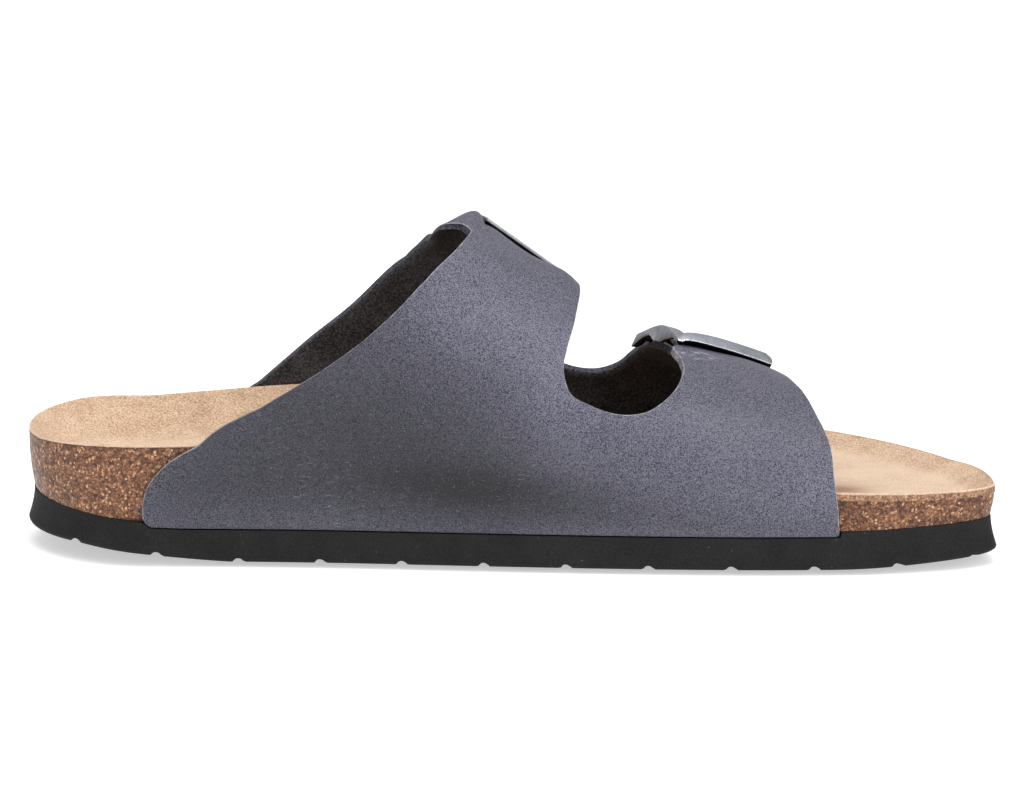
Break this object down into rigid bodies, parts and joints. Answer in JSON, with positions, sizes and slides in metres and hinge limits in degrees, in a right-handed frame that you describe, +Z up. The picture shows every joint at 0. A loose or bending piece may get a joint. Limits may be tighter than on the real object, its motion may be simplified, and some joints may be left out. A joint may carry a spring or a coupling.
{
  "type": "slide sandal",
  "caption": "Open-toe slide sandal for the left foot: suede-lined cork footbed on a dark foam sole, with a leather upper whose straps buckle over the instep and the ball of the foot.",
  "frame": {"origin": "middle of the sandal's box, on the floor", "axes": "+X from heel to toe, -Y towards the inner (big toe) side, +Z up"},
  "size_m": [0.2784, 0.1047, 0.0935],
  "materials": {
    "sole_foam": "matte foam",
    "cork": "granulated cork, matte",
    "suede": "napped suede",
    "leather": "oiled, finely grained",
    "metal": "antique pewter"
  },
  "bodies": {
    "root": {"outsole": "sole_foam", "footbed": "cork", "insole": "suede", "upper": "leather", "rear_buckle_frame": "metal", "rear_buckle_prong": "metal", "front_buckle_frame": "metal", "front_buckle_prong": "metal"}
  },
  "joints": []
}
